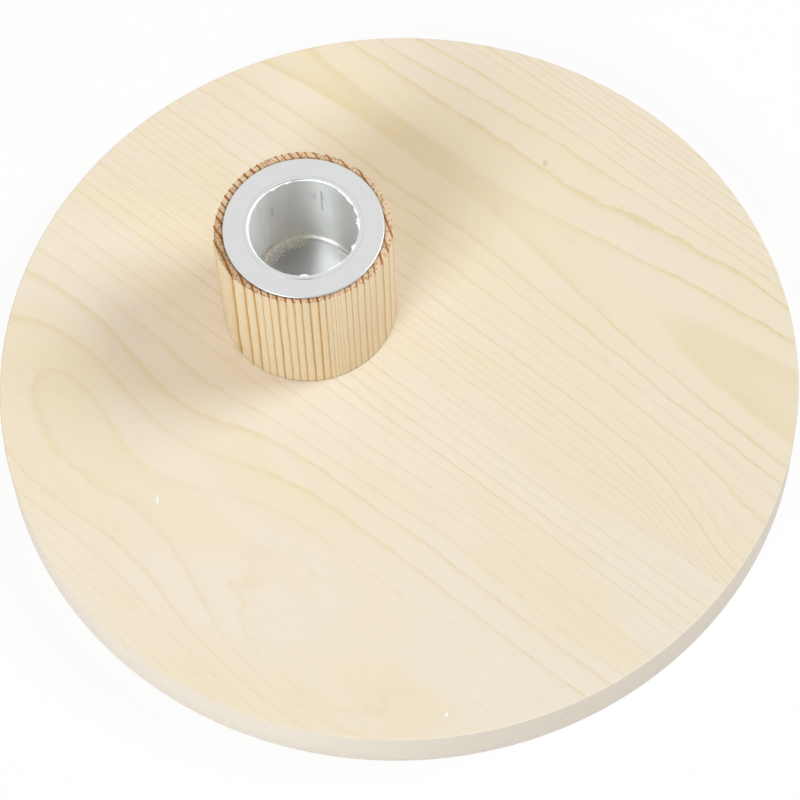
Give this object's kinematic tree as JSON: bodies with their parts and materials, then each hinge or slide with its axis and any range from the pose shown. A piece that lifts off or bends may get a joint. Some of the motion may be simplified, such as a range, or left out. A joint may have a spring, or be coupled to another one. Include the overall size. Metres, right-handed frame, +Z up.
{
  "type": "candle plate",
  "caption": "Round pine candle plate with an off-centre turned block and a lift-out aluminium insert that holds a taper candle.",
  "frame": {"origin": "centre of the plate's underside", "axes": "+Z up, along the axis of the candle; +Y from the plate's centre towards the block"},
  "size_m": [0.17, 0.17, 0.044],
  "materials": {
    "plate_pine": "raw, sanded, pale",
    "block_pine": "raw, turned, strong growth rings",
    "insert_aluminium": "pressed sheet, satin",
    "screw_steel": "zinc plated"
  },
  "bodies": {
    "plate": {"left_stave": "plate_pine", "right_stave": "plate_pine", "candle_block": "block_pine", "fixing_screw": "screw_steel"},
    "insert": {"candle_insert": "insert_aluminium"}
  },
  "joints": [
    {"name": "insert_lift", "type": "slide", "parent": "plate", "child": "insert", "axis": [0, 0, 1], "range_m": [0, 0.028]}
  ]
}
